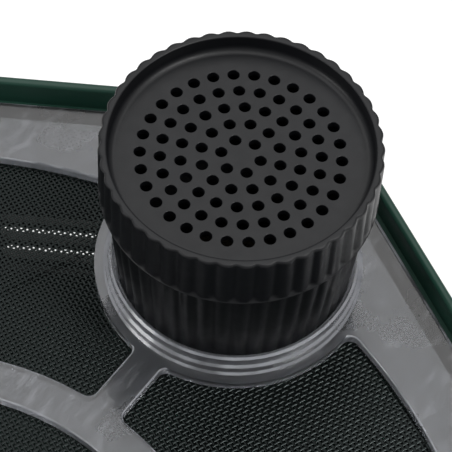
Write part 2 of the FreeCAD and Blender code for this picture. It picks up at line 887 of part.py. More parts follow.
def make_cap():
    """Perforated screw cap with a gripped skirt and a recessed plate."""
    grip = Part.Face(grip_wire(cap_radius, grip_depth, grip_count, seam_z))
    skirt = grip.extrude(UP * cap_height)
    bead_radius = cap_radius + cap_bead
    chamfer = cap_bead / 2
    bead_top = seam_z + cap_bead_height
    bead = turned(
        [
            (0, seam_z),
            (bead_radius - chamfer, seam_z),
            (bead_radius, seam_z + chamfer),
            (bead_radius, bead_top - chamfer),
            (bead_radius - chamfer, bead_top),
            (0, bead_top),
        ]
    )
    recess = turned(
        [
            (0, plate_top),
            (cap_bore - recess_sweep, plate_top),
            (cap_bore - recess_sweep / 3, plate_top + recess_sweep / 3),
            (cap_bore, plate_top + recess_sweep),
            (cap_bore, cap_top - edge_break),
            (cap_bore + edge_break, cap_top),
            (cap_bore + edge_break, cap_top + overshoot),
            (0, cap_top + overshoot),
        ]
    )
    socket = cylinder(skirt_bore, seam_z - overshoot, plate_under)
    cap = skirt.fuse(bead).cut([recess, socket] + cap_holes())
    start = jar_body_top + thread_start - thread_pitch / 2
    ridge = thread(skirt_bore, skirt_bore - thread_height, start)
    ridge = ridge.common(cylinder(cap_bore, seam_z, plate_under))
    return at_jar(cap.fuse(ridge).removeSplitter())


# ---------------------------------------------------------------- export
def pieces():
    """Every node's name with its shape."""
    yield "tub", make_tub()
    yield "feet", make_feet()
    yield "hinge_pin_left", make_hinge_pin(-1)
    yield "hinge_pin_right", make_hinge_pin(1)
    for number, side in enumerate(ENTRANCE_SIDES, 1):
        yield f"entrance_funnel_{number}", make_funnel(side)
        yield f"funnel_nut_{number}", make_funnel_nut(side)
        yield f"selector_disc_{number}", make_selector_disc(side)
        yield f"disc_pin_{number}", make_disc_pin(side)
    for number, side in enumerate(GRILLE_SIDES, 1):
        yield f"escape_grille_{number}", make_grille(side)
    yield "lid_frame", make_lid_frame()
    yield "mesh_screen", make_mesh_screen()
    yield "bait_jar", make_jar()
    yield "jar_seal", make_jar_seal()
    yield "bait_sponge", make_sponge()
    yield "cap_seal", make_cap_seal()
    yield "jar_cap", make_cap()


def main():
    """Builds and writes every node."""
    os.makedirs("parts", exist_ok=True)
    for name, shape in pieces():
        solids = shape.Solids
        print(f"{name}: {len(solids)} solid(s), valid {shape.isValid()}, {shape.Volume:.0f} mm3")
        shape.exportStep(f"parts/{name}.step")


main()
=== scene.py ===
"""Visual model of a hexagonal wasp trap with a bait jar standing in one corner of its lid.

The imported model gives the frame. Pieces whose look needs more than their solid has, the screw
cap, the bait jar, the woven screen and the sponge, are built here and stand for their solids.
Every other piece keeps its solid and gets its finish here.
"""
from __future__ import annotations

import logging
import math
from dataclasses import dataclass
from enum import Enum
from typing import Iterable, Sequence

import bmesh
import bpy
from mathutils import Matrix, Vector, noise


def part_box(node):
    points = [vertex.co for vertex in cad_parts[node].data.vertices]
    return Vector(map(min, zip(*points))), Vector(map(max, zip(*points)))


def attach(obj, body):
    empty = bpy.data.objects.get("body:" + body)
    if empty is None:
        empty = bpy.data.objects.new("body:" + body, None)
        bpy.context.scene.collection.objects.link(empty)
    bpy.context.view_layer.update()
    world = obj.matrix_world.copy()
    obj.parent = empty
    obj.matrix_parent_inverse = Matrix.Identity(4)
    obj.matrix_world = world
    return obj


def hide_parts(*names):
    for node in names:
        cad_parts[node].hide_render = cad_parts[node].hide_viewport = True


MM = 0.001
LOG = logging.getLogger("wasp_trap")

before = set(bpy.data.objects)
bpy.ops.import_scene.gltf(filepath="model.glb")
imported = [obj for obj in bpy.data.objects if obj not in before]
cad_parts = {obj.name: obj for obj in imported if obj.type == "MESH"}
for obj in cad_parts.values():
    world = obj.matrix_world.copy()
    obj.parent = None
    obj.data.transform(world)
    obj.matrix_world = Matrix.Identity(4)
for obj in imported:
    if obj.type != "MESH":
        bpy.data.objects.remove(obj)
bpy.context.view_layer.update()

Colour = tuple[float, float, float]
Span = tuple[float, float]
WHOLE: Span = (0.0, 1.0)
MOST: Span = (0.3, 0.7)  # where most of a noise's values lie


class Body(Enum):
    """The rigid bodies that the built pieces move with."""

    LID = "lid"
    JAR = "jar"
    CAP = "cap"


class Slot(Enum):
    """The record's material slots of the built pieces."""

    BLACK = "black_plastic"
    MESH = "black_mesh"
    FOAM = "foam"


# ---------------------------------------------------------------- shader trees
class Shader:
    """A material's node tree, with one Principled surface."""

    def __init__(self, name: str) -> None:
        """Starts an empty material.

        Args:
            name: The material's name.
        """
        self.material = bpy.data.materials.new(name)
        self.material.use_nodes = True
        self.tree = self.material.node_tree
        self.tree.nodes.clear()
        self.surface = self.node("ShaderNodeBsdfPrincipled")
        output = self.node("ShaderNodeOutputMaterial")
        self.link(self.surface.outputs["BSDF"], output.inputs["Surface"])
        self.place = self.node("ShaderNodeTexCoord").outputs["Object"]

    def node(self, kind: str, **settings: object) -> bpy.types.Node:
        """Adds a node with some properties set."""
        made = self.tree.nodes.new(kind)
        for key, value in settings.items():
            setattr(made, key, value)
        return made

    def link(self, source: bpy.types.NodeSocket, target: bpy.types.NodeSocket) -> None:
        """Joins an output to an input."""
        self.tree.links.new(source, target)

    def set(self, **values: object) -> None:
        """Sets the surface's own sockets.

        Args:
            **values: Socket names, with underscores for spaces, and their values.
        """
        for key, value in values.items():
            socket = self.surface.inputs[key.replace("_", " ")]
            if isinstance(value, tuple) and len(value) == 3:
                value = (*value, 1.0)
            socket.default_value = value

    def mapped(self, scale: Sequence[float], turn: float = 0.0) -> bpy.types.NodeSocket:
        """The object's coordinates, stretched and turned about Z.

        Args:
            scale: Stretch along each axis.
            turn: Turn about Z, in degrees.

        Returns:
            The mapped vector.
        """
        mapping = self.node("ShaderNodeMapping")
        mapping.inputs["Rotation"].default_value = (0.0, 0.0, math.radians(turn))
        mapping.inputs["Scale"].default_value = tuple(scale)
        self.link(self.place, mapping.inputs["Vector"])
        return mapping.outputs["Vector"]

    def rise(self) -> bpy.types.NodeSocket:
        """How far the surface faces up, from -1 to 1."""
        apart = self.node("ShaderNodeSeparateXYZ")
        self.link(self.node("ShaderNodeTexCoord").outputs["Normal"], apart.inputs["Vector"])
        return apart.outputs["Z"]

    def noise(
        self,
        scale: float,
        detail: float = 4.0,
        vector: bpy.types.NodeSocket | None = None,
    ) -> bpy.types.NodeSocket:
        """Fractal noise between 0 and 1.

        Args:
            scale: Features per metre.
            detail: Octaves.
            vector: Coordinates, or the object's own.

        Returns:
            The noise's factor.
        """
        made = self.node("ShaderNodeTexNoise")
        made.inputs["Scale"].default_value = scale
        made.inputs["Detail"].default_value = detail
        self.link(vector or self.place, made.inputs["Vector"])
        return made.outputs["Fac"]

    def cells(self, scale: float, feature: str = "F1") -> bpy.types.NodeSocket:
        """Distance within a Voronoi pattern.

        Args:
            scale: Cells per metre.
            feature: Blender's name of the measured distance.

        Returns:
            The distance.
        """
        made = self.node("ShaderNodeTexVoronoi", feature=feature)
        made.inputs["Scale"].default_value = scale
        self.link(self.place, made.inputs["Vector"])
        return made.outputs["Distance"]

    def span(self, value: bpy.types.NodeSocket, source: Span, target: Span) -> bpy.types.NodeSocket:
        """Maps one range of a value to another, and stops at its ends.

        Args:
            value: The value to map.
            source: Its range.
            target: The range it becomes.

        Returns:
            The mapped value.
        """
        made = self.node("ShaderNodeMapRange", clamp=True)
        for key, number in zip(("From Min", "From Max", "To Min", "To Max"), (*source, *target)):
            made.inputs[key].default_value = number
        self.link(value, made.inputs["Value"])
        return made.outputs["Result"]

    def math(
        self, operation: str, first: bpy.types.NodeSocket, second: bpy.types.NodeSocket
    ) -> bpy.types.NodeSocket:
        """Works out one value from two others, by Blender's name of the operation."""
        made = self.node("ShaderNodeMath", operation=operation)
        self.link(first, made.inputs[0])
        self.link(second, made.inputs[1])
        return made.outputs["Value"]

    def blend(
        self, share: bpy.types.NodeSocket, first: Colour, second: Colour
    ) -> bpy.types.NodeSocket:
        """Mixes two colours by how much there is of the second."""
        made = self.node("ShaderNodeMix", data_type="RGBA")
        self.link(share, made.inputs["Factor"])
        for socket in made.inputs:
            if socket.type == "RGBA":
                colour = first if socket.identifier.startswith("A") else second
                socket.default_value = (*colour, 1.0)
        return next(socket for socket in made.outputs if socket.type == "RGBA")

    def paint(self, pattern: bpy.types.NodeSocket, reach: Span, first: Colour, second: Colour) -> None:
        """Takes the surface from one colour to another over a range of a pattern."""
        mixed = self.blend(self.span(pattern, reach, WHOLE), first, second)
        self.link(mixed, self.surface.inputs["Base Color"])

    def polish(self, pattern: bpy.types.NodeSocket, reach: Span, roughness: Span) -> None:
        """Varies the surface's roughness over a range of a pattern."""
        self.link(self.span(pattern, reach, roughness), self.surface.inputs["Roughness"])

    def bump(self, heights: Iterable[tuple[bpy.types.NodeSocket, float]]) -> None:
        """Raises the surface by several patterns.

        Args:
            heights: Each pattern with its height in metres.
        """
        normal = None
        for height, distance in heights:
            made = self.node("ShaderNodeBump")
            made.inputs["Strength"].default_value = 1.0
            made.inputs["Distance"].default_value = distance
            self.link(height, made.inputs["Height"])
            if normal is not None:
                self.link(normal, made.inputs["Normal"])
            normal = made.outputs["Normal"]
        if normal is not None:
            self.link(normal, self.surface.inputs["Normal"])


# ---------------------------------------------------------------- finishes
# In this section scales are features per metre, stretches are along each axis, turns are in
# degrees about Z, and heights are metres.
@dataclass(frozen=True)
class MouldedPlastic:
    """Opaque moulded plastic: flow marks in its colour, spark-eroded grain and light scuffs."""

    name: str
    dark: Colour
    light: Colour
    roughness: Span
    grain: float = 0.000012
    scuffs: float = 0.000004
    ior: float = 1.47
    flow_scale: float = 38.0
    flow_reach: Span = (0.35, 0.68)
    wear_scale: float = 420.0
    grain_scale: float = 2600.0
    scuff_scale: float = 300.0
    scuff_stretch: Colour = (1.0, 14.0, 4.0)
    scuff_turn: float = 27.0

    def make(self) -> bpy.types.Material:
        """Returns the material."""
        shader = Shader(self.name)
        shader.paint(shader.noise(self.flow_scale, 3.0), self.flow_reach, self.dark, self.light)
        shader.polish(shader.noise(self.wear_scale, 5.0), MOST, self.roughness)
        grain = shader.noise(self.grain_scale, 3.0)
        scuffed = shader.mapped(self.scuff_stretch, self.scuff_turn)
        shader.bump([(shader.noise(self.scuff_scale, 2.0, scuffed), self.scuffs), (grain, self.grain)])
        shader.set(IOR=self.ior)
        return shader.material


@dataclass(frozen=True)
class ClearPlastic:
    """See-through moulded plastic with a milky film, smears, dust, and painted edge glow: milk on its
    sloping faces that stands in for light caught in its edges.

    Attributes:
        haze: The milk where it is clean.
        film: The milk where it is dusty.
        painted_edge_glow: Painted light: the milk on faces that slope, as along an edge, which stands in for
            light caught there.
    """

    name: str
    tint: Colour
    haze: float
    film: float
    painted_edge_glow: float
    roughness: Span = (0.25, 0.34)
    gloss: float = 0.07
    ior: float = 1.49
    ripple: float = 0.00001
    wipes: Span = (0.000002, 0.0000015)
    cloud_scale: float = 55.0
    dust_scale: float = 240.0
    smear_scale: float = 36.0
    wipe_scales: Span = (520.0, 460.0)
    ripple_scale: float = 60.0

    def milk(self, shader: Shader) -> bpy.types.NodeSocket:
        """How milky the plastic is, from its dust and its smears, with painted edge glow: more milk on faces
        that slope, which stands in for light caught in the edges.
        """
        dust = shader.noise(self.dust_scale, 8.0, shader.mapped((1.0, 2.2, 1.0), 40.0))
        smears = shader.noise(self.smear_scale, 5.0, shader.mapped((1.0, 4.0, 1.0), -25.0))
        film = shader.math("MULTIPLY", shader.span(dust, (0.5, 0.72), (0.25, 1.0)), smears)
        # Painted edge glow: sloping faces, as on the window bevels and the collar, are made milkier so that
        # they read as light caught in the edges; the smears vary it.
        rise = shader.rise()
        above, below = shader.span(rise, (0.3, 0.6), WHOLE), shader.span(rise, (0.88, 0.98), (1.0, 0.0))
        slope = shader.math("MULTIPLY", above, below)
        edge = shader.math("MULTIPLY", slope, shader.span(smears, (0.38, 0.6), (0.25, 1.0)))
        painted_edge_glow = shader.span(edge, WHOLE, (0.0, self.painted_edge_glow))
        return shader.math("MAXIMUM", shader.span(film, (0.15, 0.6), (self.haze, self.film)), painted_edge_glow)

    def make(self) -> bpy.types.Material:
        """Returns the material."""
        shader = Shader(self.name)
        shader.polish(shader.noise(self.cloud_scale, 4.0), (0.35, 0.7), self.roughness)
        clear = shader.span(self.milk(shader), WHOLE, (1.0, 0.0))
        shader.link(clear, shader.surface.inputs["Transmission Weight"])
        first = shader.noise(self.wipe_scales[0], 3.0, shader.mapped((1.0, 22.0, 1.0), 33.0))
        second = shader.noise(self.wipe_scales[1], 3.0, shader.mapped((18.0, 1.0, 1.0), -12.0))
        flow = shader.noise(self.ripple_scale, 2.0)
        shader.bump([(flow, self.ripple), (first, self.wipes[0]), (second, self.wipes[1])])
        shader.set(Base_Color=self.tint, IOR=self.ior)
        shader.set(Coat_Weight=1.0, Coat_Roughness=self.gloss, Coat_IOR=self.ior)
        return shader.material


@dataclass(frozen=True)
class Thread:
    """Extruded monofilament: a glossy black with slow changes along it."""

    name: str
    dark: Colour
    light: Colour
    sheen: Colour
    ior: float = 1.34
    roughness: Span = (0.18, 0.3)
    slow_scale: float = 60.0
    wear_scale: float = 900.0

    def make(self) -> bpy.types.Material:
        """Returns the material."""
        shader = Shader(self.name)
        shader.paint(shader.noise(self.slow_scale, 3.0), MOST, self.dark, self.light)
        shader.polish(shader.noise(self.wear_scale, 2.0), MOST, self.roughness)
        shader.set(IOR=self.ior, Specular_Tint=self.sheen)
        return shader.material


@dataclass(frozen=True)
class Rubber:
    """Matt moulded rubber with a dusty bloom."""

    name: str
    clean: Colour = (0.013, 0.013, 0.013)
    dusty: Colour = (0.035, 0.034, 0.032)
    bloom_scale: float = 130.0
    bloom_reach: Span = (0.42, 0.72)
    grain_scale: float = 1800.0
    grain: float = 0.00004
    roughness: float = 0.78

    def make(self) -> bpy.types.Material:
        """Returns the material."""
        shader = Shader(self.name)
        shader.paint(shader.noise(self.bloom_scale, 5.0), self.bloom_reach, self.clean, self.dusty)
        shader.bump([(shader.noise(self.grain_scale, 4.0), self.grain)])
        shader.set(Roughness=self.roughness, IOR=1.5)
        return shader.material


@dataclass(frozen=True)
class DrawnSteel:
    """Drawn steel wire, with fine lines along it."""

    name: str
    dark: Colour = (0.46, 0.46, 0.47)
    light: Colour = (0.66, 0.66, 0.67)
    line_scale: float = 700.0
    line_stretch: Colour = (0.6, 9.0, 9.0)
    line_height: float = 0.000015
    roughness: Span = (0.22, 0.4)

    def make(self) -> bpy.types.Material:
        """Returns the material."""
        shader = Shader(self.name)
        lines = shader.noise(self.line_scale, 4.0, shader.mapped(self.line_stretch))
        shader.paint(lines, MOST, self.dark, self.light)
        shader.polish(lines, MOST, self.roughness)
        shader.bump([(lines, self.line_height)])
        shader.set(Metallic=1.0)
        return shader.material


@dataclass(frozen=True)
class OpenFoam:
    """Open-cell foam, with painted shade in its pores."""

    name: str
    wall: Colour = (0.03, 0.02, 0.007)
    painted_pore_shade: Colour = (0.008, 0.005, 0.002)
    pore_scale: float = 900.0
    pore_shade_reach: Span = (0.5, 0.1)
    pore_depth: float = -0.0006
    stain_scale: float = 70.0
    roughness: Span = (0.75, 0.95)

    def make(self) -> bpy.types.Material:
        """Returns the material."""
        shader = Shader(self.name)
        pores = shader.cells(self.pore_scale)
        # Painted shade: the pores take a darker colour where shade would fall in them.
        shader.paint(pores, self.pore_shade_reach, self.wall, self.painted_pore_shade)
        shader.polish(shader.noise(self.stain_scale, 3.0), MOST, self.roughness)
        shader.bump([(pores, self.pore_depth)])
        return shader.material


@dataclass(frozen=True)
class StudioPaper:
    """The seamless white paper that the trap stands on."""

    name: str
    dark: Colour = (0.9, 0.9, 0.9)
    light: Colour = (0.93, 0.93, 0.93)
    fibre_scale: float = 900.0
    roughness: float = 0.9
    glow: float = 0.3

    def make(self) -> bpy.types.Material:
        """Returns the material."""
        shader = Shader(self.name)
        shader.paint(shader.noise(self.fibre_scale, 4.0), WHOLE, self.dark, self.light)
        shader.set(Roughness=self.roughness, Emission_Color=(1.0, 1.0, 1.0), Emission_Strength=self.glow)
        return shader.material


class Finishes:
    """One material for each finish, made once."""

    def __init__(self) -> None:
        """Makes the materials."""
        self.green = MouldedPlastic(
            "green_polypropylene", (0.011, 0.05, 0.034), (0.016, 0.064, 0.044), (0.34, 0.46)
        ).make()
        self.black = MouldedPlastic(
            "black_polypropylene", (0.005, 0.005, 0.0055), (0.008, 0.008, 0.0085), (0.34, 0.46)
        ).make()
        self.cap = MouldedPlastic(
            "black_cap_plastic", (0.0032, 0.0036, 0.005), (0.005, 0.0056, 0.0074), (0.38, 0.46), 0.00002
        ).make()
        self.clear = ClearPlastic("clear_styrene", (0.84, 0.86, 0.93), 0.012, 0.12, 0.45).make()
        self.thread = Thread(
            "black_monofilament", (0.0008, 0.0012, 0.0013), (0.0018, 0.0026, 0.0026), (0.85, 1.0, 0.98)
        ).make()
        self.rubber = Rubber("black_rubber").make()
        self.steel = DrawnSteel("drawn_steel").make()
        self.foam = OpenFoam("yellow_foam").make()
        self.paper = StudioPaper("studio_paper").make()


# ---------------------------------------------------------------- mesh helpers
def new_piece(name: str, mesh: bpy.types.Mesh, material: bpy.types.Material) -> bpy.types.Object:
    """Links an object at the origin with one material.

    Args:
        name: The piece's name.
        mesh: Its mesh, in the frame's place.
        material: Its material.

    Returns:
        The new object.
    """
    piece = bpy.data.objects.new(name, mesh)
    bpy.context.scene.collection.objects.link(piece)
    mesh.materials.clear()
    mesh.materials.append(material)
    return piece


def hand_over(piece: bpy.types.Object, body: Body, slot: Slot, *nodes: str) -> None:
    """Ties a finished piece to its body and hides the solids it stands for.

    Args:
        piece: The finished piece.
        body: The body it moves with.
        slot: The record's slot of its finish; not used.
        *nodes: The solids it stands for.
    """
    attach(piece, body.value)
    if nodes:
        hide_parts(*nodes)
    LOG.info("%s rides on %s", piece.name, body.value)


def dress(node: str, material: bpy.types.Material) -> None:
    """Gives a carried-over solid its finish.

    Args:
        node: The solid's name.
        material: The finish.
    """
    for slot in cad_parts[node].material_slots:
        slot.material = material
    LOG.info("%s has %s", node, material.name)


def smooth(mesh: bpy.types.Mesh, degrees: float = 38.0) -> None:
    """Shades a mesh smooth, with sharp edges where it turns more than an angle."""
    mesh.polygons.foreach_set("use_smooth", [True] * len(mesh.polygons))
    mesh.set_sharp_from_angle(angle=math.radians(degrees))
    mesh.update()


@dataclass(frozen=True)
class Ring:
    """One level of a turned shell, in millimetres.

    Attributes:
        radius: Its radius, over the crests of the grips.
        height: Its height above the shell's own base.
        grip: How much of the grips' depth it has, 0 to 1.
        thread: Whether the thread's ridge stands on it.
    """

    radius: float
    height: float
    grip: float = 0.0
    thread: bool = False


@dataclass(frozen=True)
class Grips:
    """Rounded ribs round a shell, for fingers to hold.

    Attributes:
        count: How many.
        depth: Crest to valley, in millimetres.
        share: The crest's share of each rib's pitch.
    """

    count: int = 45
    depth: float = 0.65
    share: float = 0.62

    def dip(self, turn: float) -> float:
        """How far below the crest's radius the surface lies, in millimetres, at a turn in rounds."""
        away = abs((turn * self.count + 0.5) % 1.0 - 0.5)
        half = self.share / 2
        if away < half:
            return self.depth * 0.5 * (1 - math.cos(math.pi / 2 * away / half))
        inward = (0.5 - away) / (0.5 - half)
        return self.depth * (1 - 0.5 * (1 - math.cos(math.pi / 2 * inward)))


@dataclass(frozen=True)
class Helix:
    """A single-start screw ridge on a turned wall.

    Attributes:
        start: Height of its first point, in millimetres.
        pitch: Rise of one round.
        rounds: How many rounds it makes.
        reach: How far its crest stands off the wall, negative for an inside thread.
        root: Half its width at the wall.
        crest: Half its width at the crest.
    """

    start: float
    pitch: float
    rounds: float
    reach: float
    root: float = 0.75
    crest: float = 0.375

    def height(self, turn: float, z: float) -> float:
        """The ridge's height off the wall at a turn in rounds and a height."""
        best = 0.0
        for lap in range(math.ceil(self.rounds) + 1):
            along = turn + lap
            if not 0 <= along <= self.rounds:
                continue
            off = abs(z - self.start - self.pitch * along)
            share = min(1.0, max(0.0, (self.root - off) / (self.root - self.crest)))
            run_in = min(1.0, min(along, self.rounds - along) * 25)
            best = max(best, share * run_in)
        return best * self.reach


@dataclass(frozen=True)
class Lathe:
    """Turns rings into a closed shell with grips and a thread.

    Attributes:
        centre: The axis's place, with the height of the shell's base, in metres.
        sectors: Points round each ring.
        grips: The shell's grips.
        helix: The shell's thread.
    """

    centre: Vector
    sectors: int
    grips: Grips
    helix: Helix | None = None

    def point(self, ring: Ring, turn: float) -> Vector:
        """A ring's point at a turn in rounds."""
        radius = ring.radius - ring.grip * self.grips.dip(turn)
        if ring.thread and self.helix is not None:
            radius += self.helix.height(turn, ring.height)
        angle = 2 * math.pi * turn
        flat = Vector((radius * math.cos(angle), radius * math.sin(angle), ring.height))
        return self.centre + flat * MM

    def shell(self, name: str, rings: Sequence[Ring], looped: bool) -> bpy.types.Mesh:
        """Builds the shell.

        Args:
            name: The mesh's name.
            rings: Its levels in order. A radius of 0 is a pole.
            looped: Whether the last level joins the first.

        Returns:
            The mesh.
        """
        build = bmesh.new()
        levels: list[list[bmesh.types.BMVert]] = []
        for ring in rings:
            count = 1 if ring.radius == 0 else self.sectors
            levels.append([build.verts.new(self.point(ring, i / self.sectors)) for i in range(count)])
        pairs = list(zip(levels, levels[1:]))
        if looped:
            pairs.append((levels[-1], levels[0]))
        for low, high in pairs:
            for i in range(self.sectors):
                foot = [low[i % len(low)], low[(i + 1) % len(low)]]
                head = [high[(i + 1) % len(high)], high[i % len(high)]]
                build.faces.new(list(dict.fromkeys(foot + head)))
        bmesh.ops.recalc_face_normals(build, faces=build.faces)
        mesh = bpy.data.meshes.new(name)
        build.to_mesh(mesh)
        build.free()
        smooth(mesh)
        return mesh


def node_centre(node: str) -> Vector:
    """The middle of a solid's box, at the box's lowest height."""
    low, high = (Vector(corner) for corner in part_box(node))
    return Vector(((low.x + high.x) / 2, (low.y + high.y) / 2, low.z))


# ---------------------------------------------------------------- geometry-node trees
class Geometry:
    """A Geometry Nodes tree with named inputs."""

    def __init__(self, name: str) -> None:
        """Starts a tree that has a geometry input and output.

        Args:
            name: The tree's name.
        """
        self.tree = bpy.data.node_groups.new(name, "GeometryNodeTree")
        self.tree.interface.new_socket("Geometry", in_out="INPUT", socket_type="NodeSocketGeometry")
        self.tree.interface.new_socket("Geometry", in_out="OUTPUT", socket_type="NodeSocketGeometry")
        self.entry = self.node("NodeGroupInput")
        self.exit = self.node("NodeGroupOutput")
        self.identifiers: dict[str, str] = {}

    def node(self, kind: str, **settings: object) -> bpy.types.Node:
        """Adds a node with some properties set."""
        made = self.tree.nodes.new(kind)
        for key, value in settings.items():
            setattr(made, key, value)
        return made

    def link(self, source: bpy.types.NodeSocket, target: bpy.types.NodeSocket) -> None:
        """Joins an output to an input."""
        self.tree.links.new(source, target)

    def input(self, name: str, kind: str = "Float") -> bpy.types.NodeSocket:
        """Adds a named input.

        Args:
            name: The input's name.
            kind: Its socket type's last word.

        Returns:
            The socket inside the tree.
        """
        made = self.tree.interface.new_socket(name, in_out="INPUT", socket_type=f"NodeSocket{kind}")
        self.identifiers[name] = made.identifier
        return next(s for s in self.entry.outputs if s.identifier == made.identifier)

    def math(self, operation: str, first: object, second: object = 0.0) -> bpy.types.NodeSocket:
        """Works out one value from two values or sockets, by Blender's name of the operation."""
        made = self.node("ShaderNodeMath", operation=operation)
        for socket, value in zip(made.inputs, (first, second)):
            if isinstance(value, bpy.types.NodeSocket):
                self.link(value, socket)
            else:
                socket.default_value = value
        return made.outputs["Value"]

    def close(self, shape: bpy.types.NodeSocket, material: bpy.types.Material) -> None:
        """Ends the tree in Realize Instances and Set Material.

        Args:
            shape: The finished geometry.
            material: Its material.
        """
        real = self.node("GeometryNodeRealizeInstances")
        paint = self.node("GeometryNodeSetMaterial")
        paint.inputs["Material"].default_value = material
        self.link(shape, real.inputs["Geometry"])
        self.link(real.outputs["Geometry"], paint.inputs["Geometry"])
        self.link(paint.outputs["Geometry"], self.exit.inputs["Geometry"])

    def grow(
        self, name: str, seed: bpy.types.Mesh, values: dict[str, float], material: bpy.types.Material
    ) -> bpy.types.Object:
        """Runs the tree on a mesh and keeps the result as a plain mesh.

        Args:
            name: The new piece's name.
            seed: The mesh that the tree starts from.
            values: A value for each named input.
            material: The piece's material.

        Returns:
            The new piece.
        """
        holder = bpy.data.objects.new(f"{name}_seed", seed)
        bpy.context.scene.collection.objects.link(holder)
        modifier = holder.modifiers.new("grow", "NODES")
        modifier.node_group = self.tree
        for key, value in values.items():
            modifier[self.identifiers[key]] = value
        graph = bpy.context.evaluated_depsgraph_get()
        mesh = bpy.data.meshes.new_from_object(holder.evaluated_get(graph))
        mesh.name = name
        holder.modifiers.clear()
        bpy.data.objects.remove(holder)
        return new_piece(name, mesh, material)


# ---------------------------------------------------------------- the screw cap
@dataclass
class ScrewCap:
    """Perforated screw cap: gripped skirt, smooth bead at its mouth, and a sunken plate.

    Sizes are in millimetres.
    """

    radius: float = 30.0
    height: float = 14.3
    bead: float = 0.1
    bore: float = 28.1
    socket: float = 27.6
    plate_radius: float = 26.5
    plate_top: float = 10.0
    plate_under: float = 8.4
    hole_radius: float = 1.25
    hole_pitch: float = 4.25
    hole_phase: float = 50.5
    hole_rings: int = 5
    sectors_per_grip: int = 12
    grips: Grips = Grips()
    helix: Helix = Helix(start=-0.2, pitch=4.0, rounds=1.15, reach=-1.0)

    def skirt_rings(self) -> list[Ring]:
        """The skirt's levels, from its mouth up its outside and down its inside."""
        edge, rim = self.radius, self.height
        outer = [
            Ring(self.socket + 0.3, 0.0),
            Ring(edge + self.bead - 0.1, 0.0),
            Ring(edge + self.bead, 0.08),
            Ring(edge + self.bead, 0.25),
            Ring(edge, 0.35, 0.05),
            Ring(edge, 0.8, 0.5),
            Ring(edge, 1.3, 0.85),
            Ring(edge, 1.9, 1.0),
            Ring(edge, rim * 0.5, 1.0),
            Ring(edge, rim - 1.5, 1.0),
            Ring(edge, rim - 1.0, 0.86),
            Ring(edge - 0.02, rim - 0.55, 0.8),
            Ring(edge - 0.14, rim - 0.22, 0.78),
            Ring(edge - 0.36, rim - 0.05, 0.74),
            Ring(edge - 0.62, rim, 0.6),
            Ring(edge - 1.0, rim, 0.3),
        ]
        inner = [
            Ring(self.bore + 0.45, rim),
            Ring(self.bore + 0.2, rim - 0.06),
            Ring(self.bore + 0.05, rim - 0.22),
            Ring(self.bore, rim - 0.5),
            Ring(self.bore, self.plate_top + 1.6),
            Ring(self.bore - 0.12, self.plate_top + 0.95),
            Ring(self.bore - 0.47, self.plate_top + 0.42),
            Ring(self.bore - 1.0, self.plate_top + 0.1),
            Ring(self.bore - 1.25, self.plate_top + 0.035),
            Ring(self.bore - 1.45, self.plate_top + 0.01),
            Ring(self.plate_radius, self.plate_top + 0.004),
            Ring(self.plate_radius, self.plate_under + 0.05),
            Ring(self.socket - 0.2, self.plate_under + 0.05),
            Ring(self.socket, self.plate_under - 0.2),
        ]
        step = 0.32
        rows = int((self.plate_under - 0.8) / step)
        threaded = [Ring(self.socket, self.plate_under - 0.4 - row * step, 0.0, True) for row in range(rows)]
        return outer + inner + threaded

    def plate_tree(self, material: bpy.types.Material) -> Geometry:
        """The plate's tree: a disc with rings of holes, six more in each ring than in the last.

        Args:
            material: The plate's material.

        Returns:
            The tree.
        """
        tree = Geometry("perforated_plate")
        edge = tree.input("Plate radius")
        depth = tree.input("Thickness")
        hole = tree.input("Hole radius")
        pitch = tree.input("Ring pitch")
        phase = tree.input("First hole", "Float")
        dots = tree.node("GeometryNodeJoinGeometry")
        for ring in range(1, self.hole_rings + 1):
            circle = tree.node("GeometryNodeMeshCircle", fill_type="NONE")
            circle.inputs["Vertices"].default_value = 6 * ring
            tree.link(tree.math("MULTIPLY", pitch, float(ring)), circle.inputs["Radius"])
            tree.link(circle.outputs["Mesh"], dots.inputs["Geometry"])
        turn = tree.node("ShaderNodeCombineXYZ")
        tree.link(phase, turn.inputs["Z"])
        turned = tree.node("GeometryNodeTransform")
        tree.link(dots.outputs["Geometry"], turned.inputs["Geometry"])
        tree.link(turn.outputs["Vector"], turned.inputs["Rotation"])
        outline = tree.node("GeometryNodeCurvePrimitiveCircle")
        outline.inputs["Resolution"].default_value = 28
        tree.link(hole, outline.inputs["Radius"])
        stamp = tree.node("GeometryNodeInstanceOnPoints")
        tree.link(turned.outputs["Geometry"], stamp.inputs["Points"])
        tree.link(outline.outputs["Curve"], stamp.inputs["Instance"])
        rim = tree.node("GeometryNodeCurvePrimitiveCircle")
        rim.inputs["Resolution"].default_value = 180
        tree.link(edge, rim.inputs["Radius"])
        both = tree.node("GeometryNodeJoinGeometry")
        tree.link(stamp.outputs["Instances"], both.inputs["Geometry"])
        tree.link(rim.outputs["Curve"], both.inputs["Geometry"])
        whole = tree.node("GeometryNodeRealizeInstances")
        tree.link(both.outputs["Geometry"], whole.inputs["Geometry"])
        fill = tree.node("GeometryNodeFillCurve")
        tree.link(whole.outputs["Geometry"], fill.inputs["Curve"])
        push = tree.node("GeometryNodeExtrudeMesh", mode="FACES")
        push.inputs["Individual"].default_value = False
        tree.link(fill.outputs["Mesh"], push.inputs["Mesh"])
        up = tree.node("ShaderNodeCombineXYZ")
        up.inputs["Z"].default_value = 1.0
        tree.link(up.outputs["Vector"], push.inputs["Offset"])
        tree.link(depth, push.inputs["Offset Scale"])
        under = tree.node("GeometryNodeFlipFaces")
        tree.link(fill.outputs["Mesh"], under.inputs["Mesh"])
        closed = tree.node("GeometryNodeJoinGeometry")
        tree.link(push.outputs["Mesh"], closed.inputs["Geometry"])
        tree.link(under.outputs["Mesh"], closed.inputs["Geometry"])
        weld = tree.node("GeometryNodeMergeByDistance")
        weld.inputs["Distance"].default_value = 1e-6
        tree.link(closed.outputs["Geometry"], weld.inputs["Geometry"])
        tree.close(weld.outputs["Geometry"], material)
        return tree

